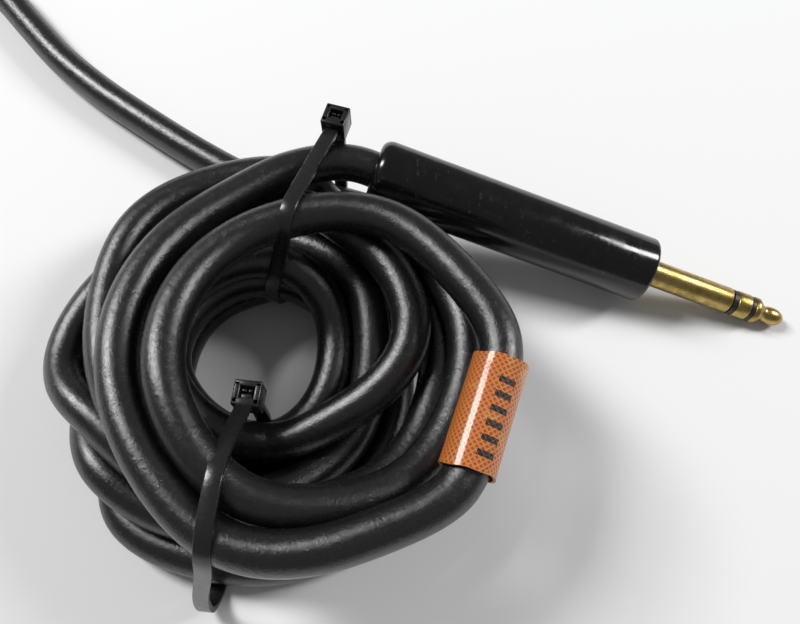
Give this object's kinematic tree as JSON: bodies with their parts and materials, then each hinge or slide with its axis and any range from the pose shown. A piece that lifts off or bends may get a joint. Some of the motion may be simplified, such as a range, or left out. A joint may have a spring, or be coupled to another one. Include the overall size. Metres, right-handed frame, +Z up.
{
  "type": "microphone cord set",
  "caption": "Coiled and tied rubber microphone cord with a three-conductor phone plug, marking sleeve and spade-lug far end.",
  "frame": {"origin": "centre of the bounding box's bottom, on the surface that the coil lies on", "axes": "+Z up; +X along the longest extent, from the spade lugs towards the plug's tip"},
  "size_m": [0.2568, 0.1846, 0.0345],
  "materials": {
    "rubber": "satin black cord rubber with a faint mottle",
    "phenolic": "glossy black phenolic, lightly scuffed",
    "brass": "aged yellow brass with dark patina in the grooves",
    "insulation": "black-brown insulating rings",
    "steel": "plain tinned steel",
    "nylon": "black nylon, fine satin",
    "marking": null,
    "wire_black": "black wire insulation",
    "wire_red": "red wire insulation",
    "wire_white": "white wire insulation",
    "string": "waxed stay cord"
  },
  "bodies": {
    "cord_set": {"sleeve_contact": "brass", "ring_contact": "brass", "tip_contact": "brass", "ring_insulator": "insulation", "tip_insulator": "insulation", "ring_washer": "insulation", "tip_washer": "insulation", "tip_nut": "brass", "cord_clamp": "brass", "sleeve_terminal": "brass", "ring_terminal": "brass", "tip_terminal": "brass", "sleeve_screw": "steel", "ring_screw": "steel", "tip_screw": "steel", "sleeve_conductor": "wire_black", "ring_conductor": "wire_red", "tip_conductor": "wire_white", "cord_lead": "rubber", "cord_coil": "rubber", "cord_tail": "rubber", "plug_tie": "nylon", "coil_tie": "nylon", "end_bushing": "rubber", "end_wire_1": "wire_black", "end_wire_2": "wire_red", "end_wire_3": "wire_white", "spade_lug_1": "steel", "spade_lug_2": "steel", "spade_lug_3": "steel", "stay_cord": "string", "stay_eyelet": "brass"},
    "shell": {"plug_shell": "phenolic"},
    "label": {"label_sleeve": "marking"}
  },
  "joints": [
    {"name": "shell_slide", "type": "slide", "parent": "cord_set", "child": "shell", "axis": [-0.9402, 0.2731, 0.2036], "range_m": [0, 0.006]},
    {"name": "label_turn", "type": "hinge", "parent": "cord_set", "child": "label", "pos_m": [0.0642, -0.06492, 0.02955], "axis": [0.3275, 0.9435, 0.05], "continuous": true}
  ]
}
